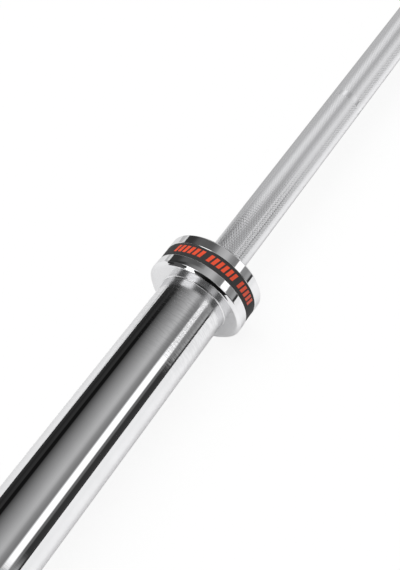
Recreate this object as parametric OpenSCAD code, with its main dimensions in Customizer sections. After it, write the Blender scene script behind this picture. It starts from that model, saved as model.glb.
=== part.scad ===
// Weightlifting barbell with free-spinning sleeves, in millimetres.
// The bar lies along X with its middle at the origin and +Z up.
// A sleeve is described on the right-hand end: r is the distance from the bar's axis, and t is the
// distance outwards from the shaft-side face of the collar. The left-hand end is its mirror image.

/* [Shaft] */
// Length of the grip between the two collars
grip_length = 1310; // [1200:5:1330]
// Diameter of the smooth shaft
shaft_d = 28; // [26.5:0.5:30]
// Diameter of the journals inside the sleeves
journal_d = 25; // [23:0.5:25.5]
// How far the full shaft diameter reaches into each collar
shoulder_depth = 7; // [6:0.5:9]
// Length of shaft that sticks out past each retaining ring
shaft_tip = 5; // [3:0.5:8]
// Chamfer on each end of the shaft
shaft_chamfer = 1; // [0.5:0.1:2]

/* [Knurling] */
// Length of the knurled grip, measured from each collar
knurl_length = 445; // [300:5:480]
// Smooth shaft left between a collar and the knurling
knurl_gap = 1; // [0.5:0.5:10]
// Height of the knurling above the smooth shaft
knurl_rise = 0.05; // [0.03:0.01:0.2]
// Length of the knurling at the middle of the bar
centre_knurl_length = 120; // [60:5:200]
// Distance between the inner edges of the two hand-spacing rings
ring_spacing = 910; // [810:10:920]
// Width of a hand-spacing ring
ring_width = 5; // [3:0.5:8]

/* [Sleeve] */
// Diameter of the sleeve that the plates slide on
sleeve_d = 50; // [49.5:0.1:50.5]
// Length of the sleeve past the fillet at its root
sleeve_length = 415; // [320:5:450]
// Radius of the fillet where the sleeve meets the collar
root_fillet = 1; // [0.5:0.1:1.5]
// Thickness of the sleeve's shoulder that is let into the collar
shoulder_thickness = 2; // [1.5:0.5:4]
// Diameter of the sleeve's spigot inside the collar
spigot_d = 42; // [40:0.5:45]
// Bore of the sleeve between its bearing seats
tube_bore_d = 28; // [26.5:0.5:30]
// Chamfer on the outer end of the sleeve
sleeve_chamfer = 1.5; // [0.5:0.1:2]

/* [Collar] */
// Diameter of the collar
collar_d = 75; // [70:0.5:80]
// Thickness of the collar, up to the face that the plates rest on
collar_length = 29; // [27:0.5:32]
// Width of the flange on the shaft side of the band
inner_flange = 8.5; // [6:0.5:10]
// Chamfer on the shaft-side edge of the collar
collar_chamfer = 1; // [0.5:0.1:2]
// Chamfer on the flange edges beside the band
flange_chamfer = 0.3; // [0.1:0.1:0.6]
// Width of the bevel on the plate-side edge, measured along the bar
bevel_length = 1.2; // [1:0.1:3]
// Height of the bevel on the plate-side edge, measured from the rim inwards
bevel_height = 1.5; // [1:0.1:3]
// Thickness of the lip that eases the bevel into the plate face
lip_length = 0.8; // [0.5:0.1:1.5]
// Height of that lip, measured inwards
lip_height = 0.7; // [0.5:0.1:2]

/* [Band] */
// Width of the rubber band
band_width = 11.5; // [9:0.5:13]
// Thickness of the rubber band
band_thickness = 2; // [1:0.1:3]
// How far the band lies below the rim of the collar
band_recess = 0.3; // [0.1:0.1:0.8]

/* [Seal] */
// How far the dust seal lies inside the collar's face
seal_recess = 0.6; // [0:0.1:1]
// Width of the dust seal
seal_width = 4; // [3:0.1:5]
// Radial height of the dust seal
seal_height = 4; // [3:0.1:4.5]
// Width of the seal's lip on the shaft
lip_width = 1.2; // [0.8:0.1:2]

/* [Bearings] */
// Diameter of a needle roller
needle_d = 2.5; // [2:0.1:3]
// Number of needle rollers in a bearing
needle_count = 20; // [12:1:22]
// Length of a needle bearing
bearing_length = 20; // [16:1:30]
// Wall of a drawn bearing cup
cup_wall = 0.94; // [0.7:0.01:1.2]
// Radial thickness of a needle cage
cage_thickness = 1.4; // [1:0.1:1.6]
// Width of the ring at each end of a needle cage
cage_ring = 1.5; // [1:0.1:2.5]
// Length of the bronze bush
bush_length = 20; // [12:1:30]

/* [Thrust washers] */
// Thickness of the thrust washer against the shaft's shoulder
inner_washer_thickness = 1.5; // [1:0.1:2]
// Thickness of the thrust washer under the retaining ring
outer_washer_thickness = 2; // [1.5:0.1:3]
// Diameter of the thrust washer under the retaining ring
outer_washer_d = 38; // [36:0.5:38.5]

/* [Retaining rings] */
// Thickness of the ring on the shaft
shaft_ring_thickness = 1.2; // [1:0.1:2]
// Depth of the ring's groove in the shaft
shaft_groove_depth = 0.55; // [0.4:0.05:0.9]
// Radial width of the ring on the shaft
shaft_ring_width = 2.8; // [2.4:0.1:3.2]
// Radius of the lugs of the ring on the shaft
shaft_lug_radius = 2.2; // [1.8:0.1:2.4]
// Thickness of the ring in the sleeve's mouth
mouth_ring_thickness = 1.75; // [1.5:0.05:2]
// Depth of the ring's groove in the sleeve's mouth
mouth_groove_depth = 1.25; // [0.8:0.05:1.5]
// Radial width of the ring in the sleeve's mouth
mouth_ring_width = 3.4; // [2.8:0.1:4]
// Radius of the lugs of the ring in the sleeve's mouth
mouth_lug_radius = 2.8; // [2.4:0.1:3.2]
// Radius of the plier holes in the lugs
lug_hole_radius = 1; // [0.8:0.1:1.2]
// Half of the angle that a ring leaves open
ring_gap_angle = 14; // [12:1:20]

/* [Sleeve mouth] */
// Diameter of the pocket for the thrust washer and its ring
washer_pocket_d = 39.5; // [39:0.5:41]
// Diameter of the pocket for the end cap
cap_pocket_d = 42; // [41.5:0.5:43]
// Distance from the sleeve's end to the floor of the washer pocket
mouth_depth = 24; // [21:0.5:35]
// Distance from the sleeve's end to the outer side of the ring that holds the cap
mouth_ring_depth = 1.3; // [1:0.1:2]
// Thickness of the end cap at its rim
cap_thickness = 5; // [4:0.5:6]
// Depth of the dish in the end cap
cap_dish_depth = 1.2; // [0.6:0.1:2]
// Width of the flat rim round the dish in the end cap
cap_rim = 7; // [6:0.5:9]
// Radius of the raised boss at the middle of the end cap
cap_boss_radius = 5; // [3:0.5:8]

/* [Clearances] */
// Radial clearance on each side of a needle roller
needle_clearance = 0.03; // [0.02:0.01:0.05]
// Radial clearance of the bush, the seal and the thrust washers on the shaft
running_clearance = 0.05; // [0.03:0.01:0.08]
// Gap along the bar on each side of a part that turns
end_play = 0.3; // [0.2:0.05:0.5]
// Gap round a needle roller in its cage
pocket_clearance = 0.08; // [0.05:0.01:0.12]

/* [Hidden] */
$fn = 96;

// Overlap that makes a cut pass clean through a surface
cut = 1;

// Radii of the shaft and of what runs on it
shaft_r = shaft_d / 2;
knurl_r = shaft_r + knurl_rise;
journal_r = journal_d / 2;
needle_r = needle_d / 2;
pitch_r = journal_r + needle_clearance + needle_r;
raceway_r = journal_r + needle_d + 2 * needle_clearance;
bore_r = raceway_r + cup_wall;
cup_lip_r = journal_r + 2 * end_play;

// Radii of the collar and the sleeve
sleeve_r = sleeve_d / 2;
shoulder_r = sleeve_r + root_fillet;
spigot_r = spigot_d / 2;
tube_r = tube_bore_d / 2;
collar_r = collar_d / 2;
band_r = collar_r - band_recess;
groove_r = band_r - band_thickness;
seal_r = shaft_r + seal_height;

// Places along the sleeve, from the collar's shaft-side face outwards
spigot_t = seal_recess + seal_width;
washer_t = shoulder_depth;
bush_t = washer_t + inner_washer_thickness + end_play;
inner_bearing_t = bush_t + bush_length;
mouth_t = collar_length + root_fillet + sleeve_length;
washer_pocket_t = mouth_t - mouth_depth;
outer_bearing_t = washer_pocket_t - bearing_length;
outer_washer_t = washer_pocket_t + end_play;
shaft_ring_t = outer_washer_t + outer_washer_thickness;
shaft_end_t = shaft_ring_t + shaft_ring_thickness + shaft_tip;
mouth_ring_t = mouth_t - mouth_ring_depth - mouth_ring_thickness;
cap_t = mouth_ring_t - cap_thickness;

// Radii of the sleeve's mouth
washer_pocket_r = washer_pocket_d / 2;
cap_pocket_r = cap_pocket_d / 2;
mouth_groove_r = cap_pocket_r + mouth_groove_depth;

// Lengths inside a needle bearing
cage_length = bearing_length - 2 * cup_wall - 2 * end_play;
pocket_length = cage_length - 2 * cage_ring;
needle_length = pocket_length - 2 * pocket_clearance;

// Turn about the bar's axis that puts a flat of the meshed collars, not a ridge, at the bottom
flat_turn = 1.385;
module turned() rotate([flat_turn, 0, 0]) children();

// Places the right-hand end's own axis along the bar, with t = 0 at the collar's shaft-side face
module right() turned() translate([grip_length / 2, 0, 0]) rotate([0, 90, 0]) children();
module left() mirror([1, 0, 0]) right() children();

// A turned ring between two radii and two places along the sleeve
module turned_ring(inner_r, outer_r, from_t, to_t)
    rotate_extrude() translate([inner_r, from_t]) square([outer_r - inner_r, to_t - from_t]);

// A solid length of the bar between two distances from its middle
module bar_length(r, from_x, to_x) translate([from_x, 0, 0]) rotate([0, 90, 0]) cylinder(r = r, h = to_x - from_x);

// Shaft

module journals() {
    end_x = grip_length / 2 + shaft_end_t;
    rotate([0, 90, 0]) rotate_extrude() polygon([
        [0, -end_x], [journal_r - shaft_chamfer, -end_x], [journal_r, shaft_chamfer - end_x],
        [journal_r, end_x - shaft_chamfer], [journal_r - shaft_chamfer, end_x], [0, end_x]
    ]);
}

module end_knurls() {
    outer_x = grip_length / 2 - knurl_gap;
    ring_x = ring_spacing / 2;
    inner_x = grip_length / 2 - knurl_length;
    bar_length(knurl_r, inner_x, ring_x);
    bar_length(knurl_r, ring_x + ring_width, outer_x);
}

module shaft_ring_groove() right()
    turned_ring(journal_r - shaft_groove_depth, journal_r + cut, shaft_ring_t, shaft_ring_t + shaft_ring_thickness);

module shaft() color("silver") difference() {
    union() {
        journals();
        bar_length(shaft_r, -grip_length / 2 - shoulder_depth, grip_length / 2 + shoulder_depth);
        bar_length(knurl_r, -centre_knurl_length / 2, centre_knurl_length / 2);
        end_knurls();
        mirror([1, 0, 0]) end_knurls();
    }
    shaft_ring_groove();
    mirror([1, 0, 0]) shaft_ring_groove();
}

// Collar, band and sleeve

module collar() color("gainsboro") {
    outer_flange_t = inner_flange + band_width;
    bevel_t = collar_length - lip_length - bevel_length;
    lip_r = collar_r - bevel_height;
    rotate_extrude() polygon([
        [seal_r, 0], [collar_r - collar_chamfer, 0], [collar_r, collar_chamfer],
        [collar_r, inner_flange - flange_chamfer], [collar_r - flange_chamfer, inner_flange],
        [groove_r, inner_flange], [groove_r, outer_flange_t],
        [collar_r - flange_chamfer, outer_flange_t], [collar_r, outer_flange_t + flange_chamfer],
        [collar_r, bevel_t], [lip_r, collar_length - lip_length], [lip_r - lip_height, collar_length],
        [shoulder_r, collar_length], [shoulder_r, collar_length - shoulder_thickness],
        [spigot_r, collar_length - shoulder_thickness], [spigot_r, spigot_t], [seal_r, spigot_t]
    ]);
}

module collar_band() color("dimgray")
    turned_ring(groove_r, band_r, inner_flange, inner_flange + band_width);

module sleeve_root() difference() {
    shoulder_t = collar_length - shoulder_thickness;
    translate([tube_r, shoulder_t]) square([shoulder_r - tube_r, shoulder_thickness + root_fillet]);
    translate([shoulder_r, collar_length + root_fillet]) circle(r = root_fillet);
}

module sleeve() color("whitesmoke") rotate_extrude() difference() {
    union() {
        translate([tube_r, spigot_t]) square([spigot_r - tube_r, collar_length - spigot_t]);
        sleeve_root();
        polygon([
            [tube_r, collar_length], [sleeve_r, collar_length], [sleeve_r, mouth_t - sleeve_chamfer],
            [sleeve_r - sleeve_chamfer, mouth_t], [tube_r, mouth_t]
        ]);
    }
    translate([0, spigot_t - cut]) square([bore_r, inner_bearing_t + bearing_length - spigot_t + cut]);
    translate([0, outer_bearing_t]) square([bore_r, bearing_length + cut]);
    translate([0, washer_pocket_t]) square([washer_pocket_r, mouth_depth + cut]);
    translate([0, cap_t]) square([cap_pocket_r, mouth_depth]);
    translate([0, mouth_ring_t]) square([mouth_groove_r, mouth_ring_thickness]);
}

module dust_seal() color("black") {
    lip_r = shaft_r + running_clearance;
    back_r = shaft_r + seal_height / 2;
    rotate_extrude() polygon([
        [lip_r, seal_recess], [seal_r, seal_recess], [seal_r, spigot_t], [back_r, spigot_t],
        [lip_r, seal_recess + lip_width]
    ]);
}

// Bush and thrust washers

module bush() color("darkgoldenrod")
    turned_ring(journal_r + running_clearance, bore_r, bush_t, bush_t + bush_length);

module inner_thrust_washer() color("goldenrod")
    turned_ring(journal_r + running_clearance, bore_r - end_play, washer_t, washer_t + inner_washer_thickness);

module outer_thrust_washer() color("goldenrod")
    turned_ring(journal_r + running_clearance, outer_washer_d / 2, outer_washer_t, shaft_ring_t);

// Needle bearings

module bearing_cup(from_t) color("lightsteelblue") translate([0, 0, from_t]) rotate_extrude() difference() {
    translate([cup_lip_r, 0]) square([bore_r - cup_lip_r, bearing_length]);
    translate([0, cup_wall]) square([raceway_r, bearing_length - 2 * cup_wall]);
}

module each_needle() for (i = [0 : needle_count - 1]) rotate([0, 0, i * 360 / needle_count])
    translate([pitch_r, 0, 0]) children();

module needle_cage(from_t) color("slategray") translate([0, 0, from_t + cup_wall + end_play]) difference() {
    turned_ring(pitch_r - cage_thickness / 2, pitch_r + cage_thickness / 2, 0, cage_length);
    pocket = [2 * cage_thickness, needle_d + 2 * pocket_clearance, pocket_length];
    each_needle() translate([0, 0, cage_length / 2]) cube(pocket, center = true);
}

module needle_rollers(from_t) color("lightgray") translate([0, 0, from_t + bearing_length / 2])
    each_needle() cylinder(r = needle_r, h = needle_length, center = true);

// Retaining rings: an open ring whose two lugs carry the plier holes

module open_ring(inner_r, outer_r, lug_r, lug_radius, thickness) linear_extrude(thickness) difference() {
    lug_angle = ring_gap_angle + asin(lug_radius / lug_r);
    reach = outer_r + lug_radius + cut;
    union() {
        difference() {
            circle(r = outer_r);
            circle(r = inner_r);
            polygon([
                [0, 0], [reach, -reach * tan(ring_gap_angle)], [reach, reach * tan(ring_gap_angle)]
            ]);
        }
        for (side = [-1, 1]) rotate(side * lug_angle) translate([lug_r, 0]) circle(r = lug_radius);
    }
    for (side = [-1, 1]) rotate(side * lug_angle) translate([lug_r, 0]) circle(r = lug_hole_radius);
}

module shaft_ring() color("darkslategray") translate([0, 0, shaft_ring_t]) {
    inner_r = journal_r - shaft_groove_depth;
    outer_r = inner_r + shaft_ring_width;
    open_ring(inner_r, outer_r, outer_r + lug_hole_radius / 2, shaft_lug_radius, shaft_ring_thickness);
}

module mouth_ring() color("darkslategray") translate([0, 0, mouth_ring_t]) {
    inner_r = mouth_groove_r - mouth_ring_width;
    open_ring(inner_r, mouth_groove_r, inner_r - lug_hole_radius / 2, mouth_lug_radius, mouth_ring_thickness);
}

// End cap

module end_cap() color("lightslategray") {
    dish_r = cap_pocket_r - cap_rim;
    floor_t = mouth_ring_t - cap_dish_depth;
    rotate_extrude() polygon([
        [0, cap_t], [cap_pocket_r, cap_t], [cap_pocket_r, mouth_ring_t], [dish_r, mouth_ring_t],
        [dish_r - cap_dish_depth, floor_t], [cap_boss_radius + cap_dish_depth, floor_t],
        [cap_boss_radius, mouth_ring_t], [0, mouth_ring_t]
    ]);
}

turned() shaft();
left() collar();  // left_collar
left() collar_band();  // left_collar_band
left() sleeve();  // left_sleeve
left() dust_seal();  // left_dust_seal
left() inner_thrust_washer();  // left_inner_thrust_washer
left() bush();  // left_bush
left() bearing_cup(inner_bearing_t);  // left_inner_bearing_cup
left() needle_cage(inner_bearing_t);  // left_inner_needle_cage
left() needle_rollers(inner_bearing_t);  // left_inner_needle_rollers
left() bearing_cup(outer_bearing_t);  // left_outer_bearing_cup
left() needle_cage(outer_bearing_t);  // left_outer_needle_cage
left() needle_rollers(outer_bearing_t);  // left_outer_needle_rollers
left() outer_thrust_washer();  // left_outer_thrust_washer
left() shaft_ring();  // left_shaft_ring
left() end_cap();  // left_end_cap
left() mouth_ring();  // left_mouth_ring
right() collar();  // right_collar
right() collar_band();  // right_collar_band
right() sleeve();  // right_sleeve
right() dust_seal();  // right_dust_seal
right() inner_thrust_washer();  // right_inner_thrust_washer
right() bush();  // right_bush
right() bearing_cup(inner_bearing_t);  // right_inner_bearing_cup
right() needle_cage(inner_bearing_t);  // right_inner_needle_cage
right() needle_rollers(inner_bearing_t);  // right_inner_needle_rollers
right() bearing_cup(outer_bearing_t);  // right_outer_bearing_cup
right() needle_cage(outer_bearing_t);  // right_outer_needle_cage
right() needle_rollers(outer_bearing_t);  // right_outer_needle_rollers
right() outer_thrust_washer();  // right_outer_thrust_washer
right() shaft_ring();  // right_shaft_ring
right() end_cap();  // right_end_cap
right() mouth_ring();  // right_mouth_ring
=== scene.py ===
"""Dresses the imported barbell.

It makes a turned and knurled shaft, polished sleeves and collars, printed rubber bands and dished end caps,
and gives the bearing pieces of the frame their finishes.
"""

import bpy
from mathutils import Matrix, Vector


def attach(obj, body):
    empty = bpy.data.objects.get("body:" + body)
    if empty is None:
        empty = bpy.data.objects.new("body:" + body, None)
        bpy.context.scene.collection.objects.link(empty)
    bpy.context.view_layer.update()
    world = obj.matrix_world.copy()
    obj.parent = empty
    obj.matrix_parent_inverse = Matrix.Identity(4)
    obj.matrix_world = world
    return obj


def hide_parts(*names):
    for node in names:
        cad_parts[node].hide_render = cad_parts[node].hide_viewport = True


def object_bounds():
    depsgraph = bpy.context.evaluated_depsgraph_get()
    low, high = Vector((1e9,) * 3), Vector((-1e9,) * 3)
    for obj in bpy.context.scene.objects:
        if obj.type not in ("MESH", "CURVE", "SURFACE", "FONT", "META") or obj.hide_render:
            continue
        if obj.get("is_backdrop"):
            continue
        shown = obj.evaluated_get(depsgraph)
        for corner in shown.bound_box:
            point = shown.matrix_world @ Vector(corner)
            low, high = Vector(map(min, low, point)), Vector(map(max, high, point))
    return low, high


bl_info = {
    "name": "Barbell",
    "version": (1, 0, 0),
    "blender": (4, 5, 0),
    "location": "3D View > Sidebar > Barbell",
    "description": "Turned, knurled and polished pieces for a weightlifting barbell",
    "category": "Object",
}

import math

import bmesh
import bpy
from mathutils import Matrix, Vector

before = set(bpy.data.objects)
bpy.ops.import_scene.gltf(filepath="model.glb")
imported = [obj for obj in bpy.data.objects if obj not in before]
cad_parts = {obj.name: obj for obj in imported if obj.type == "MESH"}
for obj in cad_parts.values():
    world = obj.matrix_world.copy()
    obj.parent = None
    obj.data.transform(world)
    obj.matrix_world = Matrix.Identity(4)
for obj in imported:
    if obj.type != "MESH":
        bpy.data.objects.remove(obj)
cad_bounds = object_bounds()

SIDES = (("left", -1), ("right", 1))

# How finely the pieces are turned: facets round the bar, and segments of a rounded edge
SLEEVE_FACETS = 192
BAND_FACETS = 160
SHAFT_FACETS = 128
PRINT_FACETS = 4
EDGE_SEGMENTS = 4
MERGE_DISTANCE = 1e-7
SHARP_ANGLE = math.radians(40)

# The knurling's own attribute: one at the bottom of a groove, nought at the top of the diamonds. The shaft's
# material darkens its colour by it, a painted shade in the knurling.
GROOVE_LAYER = "groove"


def reach(node):
    """Where a node starts and stops along the bar, and its greatest radius, in metres."""
    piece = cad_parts[node]
    places = [piece.matrix_world @ vert.co for vert in piece.data.vertices]
    along = [place.x for place in places]
    radius = max(math.hypot(place.y, place.z) for place in places)
    return round(min(along), 6), round(max(along), 6), round(radius, 6)


COLLAR_START, COLLAR_END, COLLAR_RADIUS = reach("right_collar")
BAND_START, BAND_END, BAND_RADIUS = reach("right_collar_band")
TUBE_START, TUBE_END, SHOULDER_RADIUS = reach("right_sleeve")
CAP_START, CAP_END, CAP_RADIUS = reach("right_end_cap")
MOUTH_RING_START, MOUTH_RING_END, MOUTH_RING_RADIUS = reach("right_mouth_ring")
SHAFT_RING_START, SHAFT_RING_END, _ = reach("right_shaft_ring")
INNER_CUP_START, INNER_CUP_END, BEARING_RADIUS = reach("right_inner_bearing_cup")
OUTER_CUP_START, OUTER_CUP_END, _ = reach("right_outer_bearing_cup")
SHAFT_END = reach("shaft")[1]


def length(name, description, default):
    """A size in metres."""
    return bpy.props.FloatProperty(
        name=name, description=description, default=default, min=0.0, unit="LENGTH", precision=5
    )


def share(name, description, default):
    """A number from nought to one."""
    return bpy.props.FloatProperty(
        name=name, description=description, default=default, min=0.0, max=1.0, subtype="FACTOR"
    )


def colour(name, description, default):
    """A plain colour."""
    return bpy.props.FloatVectorProperty(
        name=name, description=description, default=default, size=3, min=0.0, max=1.0, subtype="COLOR"
    )


class BarbellShaftSizes(bpy.types.PropertyGroup):
    """Sizes of the shaft and its knurling"""

    radius: length("Radius", "Radius of the smooth shaft", 0.014)
    journal_radius: length("Journal radius", "Radius of the ends that run in the sleeves", 0.0125)
    shoulder: length("Shoulder", "How far the full radius reaches into a collar", 0.007)
    end_easing: length("End easing", "Rounding of the shaft's ends", 0.001)
    shoulder_easing: length("Shoulder easing", "Rounding of the shoulders where the journals start", 0.0003)
    ring_groove: length("Ring groove", "Depth of the groove for the retaining ring", 0.00055)
    knurl_root: length("Knurl root", "Radius at the bottom of the knurling", 0.01398)
    knurl_height: length("Knurl height", "Height of a diamond over the bottom of the knurling", 0.00007)
    knurl_wall: length("Knurl wall", "How far a knurled band reaches into the shaft", 0.0006)
    knurl_gap: length("Knurl gap", "Smooth shaft between a collar and the knurling", 0.001)
    knurl_length: length("Knurl length", "Length of the knurled grip, from a collar", 0.445)
    centre_knurl: length("Centre knurl", "Length of the knurling at the middle", 0.120)
    ring_spacing: length("Ring spacing", "Distance between the inner edges of the two hand rings", 0.910)
    ring_width: length("Ring width", "Width of a hand ring", 0.005)
    diamond_length: length("Diamond length", "Length of a knurled diamond along the bar", 0.00238)
    diamonds_around: bpy.props.IntProperty(
        name="Diamonds around", description="Diamonds in one turn of the shaft", default=64, min=24
    )


class BarbellSleeveSizes(bpy.types.PropertyGroup):
    """Sizes of the sleeves, collars, bands and end caps"""

    radius: length("Sleeve radius", "Radius of the sleeve that carries the plates", 0.025)
    root_fillet: length("Root fillet", "Rounding where the sleeve meets the collar", 0.001)
    shoulder: length("Shoulder", "Thickness of the sleeve's shoulder in the collar", 0.002)
    spigot_radius: length("Spigot radius", "Radius of the sleeve inside the collar", 0.021)
    bore_radius: length("Bore radius", "Radius of the sleeve's bore between the bearings", 0.014)
    end_chamfer: length("End chamfer", "Chamfer on the outer end of the sleeve", 0.0015)
    pocket_radius: length("Pocket radius", "Radius of the pocket behind the end cap", 0.01975)
    seal_radius: length("Seal radius", "Radius of the collar's bore round the dust seal", 0.018)
    groove_depth: length("Groove depth", "Depth of the collar's groove under the band's surface", 0.002)
    collar_chamfer: length("Collar chamfer", "Chamfer on the collar's shaft side", 0.001)
    flange_chamfer: length("Flange chamfer", "Chamfer on the flanges beside the band", 0.0003)
    bevel_length: length("Bevel length", "Length of the bevel on the collar's plate side", 0.0012)
    bevel_height: length("Bevel height", "Height of the bevel on the collar's plate side", 0.0015)
    lip_length: length("Lip length", "Length of the lip below the bevel", 0.0008)
    lip_height: length("Lip height", "Height of the lip below the bevel", 0.0007)
    edge_easing: length("Edge easing", "Rounding of the turned edges", 0.00022)
    band_easing: length("Band easing", "Rounding of the band's edges", 0.0003)
    cap_rim: length("Cap rim", "Width of the flat rim of the end cap", 0.007)
    cap_dish: length("Cap dish", "Depth of the dish in the end cap", 0.0012)
    cap_boss: length("Cap boss", "Radius of the boss in the middle of the end cap", 0.005)


class BarbellPrintSizes(bpy.types.PropertyGroup):
    """Sizes of the slanted bars printed on the bands"""

    height: length("Height", "Height of a bar along the barbell", 0.0062)
    middle: length("Middle", "Distance from the collar's shaft side to the middle of the bars", 0.0137)
    width: length("Width", "Width of a bar round the band", 0.0026)
    slant: length("Slant", "How far a bar leans over its height", 0.0016)
    rise: length("Rise", "How far the bars stand on the band", 0.00008)
    groups: bpy.props.IntVectorProperty(
        name="Groups", description="Bars in each group of a half turn", default=(6, 6, 5), size=3, min=1
    )
    first_angle: bpy.props.FloatProperty(
        name="First angle", description="Place of the first bar, from straight up",
        default=math.radians(-36.5), subtype="ANGLE",
    )
    gap: bpy.props.FloatProperty(
        name="Gap", description="Extra angle between two groups", default=math.radians(4.6),
        subtype="ANGLE",
    )
    pitch: bpy.props.FloatProperty(
        name="Pitch", description="Angle between neighbouring bars", default=math.radians(6.3),
        subtype="ANGLE",
    )


class BarbellFinishes(bpy.types.PropertyGroup):
    """Colours and polish of the surfaces"""

    mirror: colour("Mirror chrome", "Colour of the sleeves and collars", (0.80, 0.80, 0.81))
    scuffed: colour("Scuffed chrome", "Colour of the scuffs beside the collar", (0.72, 0.72, 0.73))
    mirror_roughness: share("Mirror roughness", "Roughness of the sleeves and collars", 0.035)
    scuff_roughness: share("Scuff roughness", "Added roughness of the scuffs beside the collar", 0.16)
    satin: colour("Satin chrome", "Colour of the shaft", (0.96, 0.96, 0.97))
    # Painted shade: the colour that the satin chrome is darkened to at the bottom of the knurling.
    groove_shade: colour("Knurl grooves", "Colour at the bottom of the knurling", (0.12, 0.12, 0.123))
    satin_roughness: share("Satin roughness", "Roughness of the shaft", 0.2)
    rubber: colour("Band rubber", "Colour of the bands", (0.012, 0.012, 0.0135))
    bars: colour("Printed bars", "Colour of the slanted bars", (0.83, 0.075, 0.022))
    aluminium: colour("Cap aluminium", "Colour of the end caps", (0.66, 0.66, 0.67))
    bronze: colour("Bronze", "Colour of the bushes and thrust washers", (0.58, 0.36, 0.15))
    bearing: colour("Bearing steel", "Colour of the needle bearings", (0.60, 0.61, 0.63))
    cage: colour("Cage steel", "Colour of the needle cages", (0.32, 0.33, 0.35))
    spring: colour("Spring steel", "Colour of the retaining rings", (0.09, 0.09, 0.10))


# Node helpers

# Most of a noise texture's values lie in the first range, and its darker half in the second
NOISE_RANGE = (0.3, 0.7)
CLOUD_RANGE = (0.3, 0.6)


def add(tree, kind, inputs=None, **settings):
    """Adds a shader node. Inputs are given by name or number, as a value or as another node's output."""
    made = tree.nodes.new("ShaderNode" + kind)
    for key, value in settings.items():
        setattr(made, key, value)
    for key, value in (inputs or {}).items():
        if isinstance(value, bpy.types.NodeSocket):
            tree.links.new(value, made.inputs[key])
        else:
            made.inputs[key].default_value = value
    return made


def calculate(tree, operation, *values):
    """The output of a Math node."""
    return add(tree, "Math", dict(enumerate(values)), operation=operation).outputs[0]


def product(tree, first, second):
    """Two values multiplied."""
    return calculate(tree, "MULTIPLY", first, second)


def total(tree, first, second):
    """Two values added."""
    return calculate(tree, "ADD", first, second)


def streaks(tree, coordinates, along, across, detail=3.0):
    """Noise with its own scale along the bar and across it, in marks per metre."""
    stretched = add(tree, "Mapping", {"Vector": coordinates, "Scale": (along, across, across)})
    return add(tree, "TexNoise", {"Vector": stretched.outputs[0], "Scale": 1.0, "Detail": detail}).outputs[0]


def between(tree, value, low, high, to_low=0.0, to_high=1.0):
    """A value's range moved to another range, and held at its ends."""
    names = ("Value", "From Min", "From Max", "To Min", "To Max")
    return add(tree, "MapRange", dict(zip(names, (value, low, high, to_low, to_high)))).outputs[0]


def blend(tree, factor, first, second):
    """A mix of two colours."""
    return add(tree, "Mix", {"Factor": factor, "A": first, "B": second}, data_type="RGBA").outputs[2]


def varied(tree, noise, middle, spread):
    """A value that wanders round its middle with a noise, by a share of itself."""
    return between(tree, noise, *NOISE_RANGE, middle * (1 - spread), middle * (1 + spread))


def clouded(tree, clouds, tone, darkest, noise_range=CLOUD_RANGE):
    """A colour that a noise darkens here and there, down to a share of itself."""
    dark = (*(part * darkest for part in tone), 1.0)
    return blend(tree, between(tree, clouds, *noise_range), dark, (*tone, 1.0))


def start_finish(name):
    """A new material with its shader, its node tree and its object coordinates."""
    material = bpy.data.materials.new(name)
    material.use_nodes = True
    tree = material.node_tree
    shader = tree.nodes["Principled BSDF"]
    coordinates = tree.nodes.new("ShaderNodeTexCoord").outputs["Object"]
    return material, tree, shader, coordinates


def make_metal(shader, edge_brightness=1.0):
    """Makes a shader metal, with the brightness that it has where it is seen edge-on."""
    shader.inputs["Metallic"].default_value = 1.0
    shader.inputs["Specular Tint"].default_value = (edge_brightness, edge_brightness, edge_brightness, 1.0)


def raise_from(tree, shader, height, distance):
    """Bump on a shader from a height between nought and one."""
    bump = add(tree, "Bump", {"Height": height, "Distance": distance, "Strength": 1.0})
    tree.links.new(bump.outputs[0], shader.inputs["Normal"])


def turned_metal(name, tone, roughness, lines, depth, darkest=0.8):
    """Metal with fine marks that run round the bar, and soft changes of tone and polish."""
    material, tree, shader, coordinates = start_finish(name)
    marks = streaks(tree, coordinates, along=lines, across=25.0)
    clouds = streaks(tree, coordinates, along=90.0, across=90.0, detail=4.0)
    tree.links.new(clouded(tree, clouds, tone, darkest), shader.inputs["Base Color"])
    uneven = total(tree, product(tree, marks, 0.5), product(tree, clouds, 0.5))
    tree.links.new(varied(tree, uneven, roughness, 0.3), shader.inputs["Roughness"])
    make_metal(shader)
    raise_from(tree, shader, marks, depth)
    return material


# Where plates rub a sleeve and where its root is worn: distances from the collar's plate side over which
# the mark starts, distances over which it stops, and what is left of it beyond them
RUBBED = ((0.0, 0.012), (0.030, 0.075), 0.03)
WORN = ((-0.0004, -0.0001), (0.006, 0.014), 0.0)

# Where in their noise the scratches dull the chrome's colour and its polish
SCRATCHED_COLOUR = (0.46, 0.56)
SCRATCHED_POLISH = (0.42, 0.60)


def beside_collar(tree, distance, rise, fall, rest):
    """One on a mark beside a collar, nought nearer the bar's middle, and what is left past the mark."""
    return product(
        tree, between(tree, distance, COLLAR_END + rise[0], COLLAR_END + rise[1]),
        between(tree, distance, COLLAR_END + fall[0], COLLAR_END + fall[1], 1.0, rest),
    )


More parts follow.
